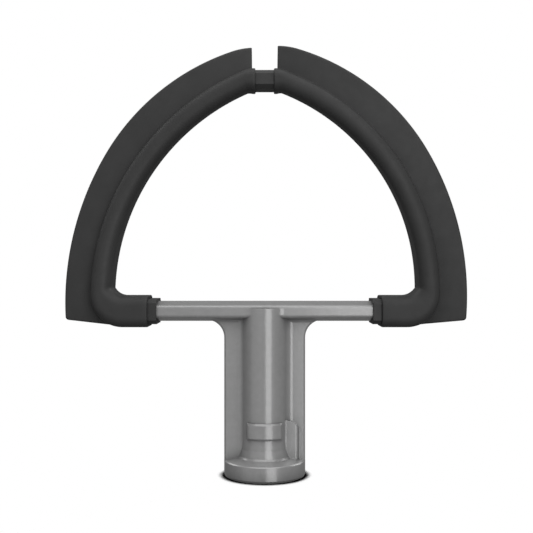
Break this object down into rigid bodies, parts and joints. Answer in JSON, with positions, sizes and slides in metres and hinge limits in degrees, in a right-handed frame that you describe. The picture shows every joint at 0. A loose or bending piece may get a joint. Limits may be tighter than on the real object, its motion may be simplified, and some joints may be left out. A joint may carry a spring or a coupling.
{
  "type": "stand mixer flat beater",
  "caption": "Flat beater with a cast metal tee hub, a stiff arched loop and a flexible rubber wiping edge moulded over each side of the loop.",
  "frame": {"origin": "centre of the hub collar's rim, where the drive shaft goes in, on the surface that the beater stands on", "axes": "+Z from the rim up through the hub and the loop, which is upside down from its place in the mixer; +X along the crossbar; -Y is the front, with the raised pad over the locking groove"},
  "size_m": [0.14, 0.0282, 0.149],
  "materials": {
    "coated_casting": "satin grey coating on a die-cast hub",
    "stiff_frame": "moulded dark grey glass-filled nylon, matt",
    "silicone_edge": "moulded dark grey silicone rubber, matt"
  },
  "bodies": {
    "root": {"hub_casting": "coated_casting", "loop_frame": "stiff_frame", "right_silicone_edge": "silicone_edge", "left_silicone_edge": "silicone_edge"}
  },
  "joints": []
}
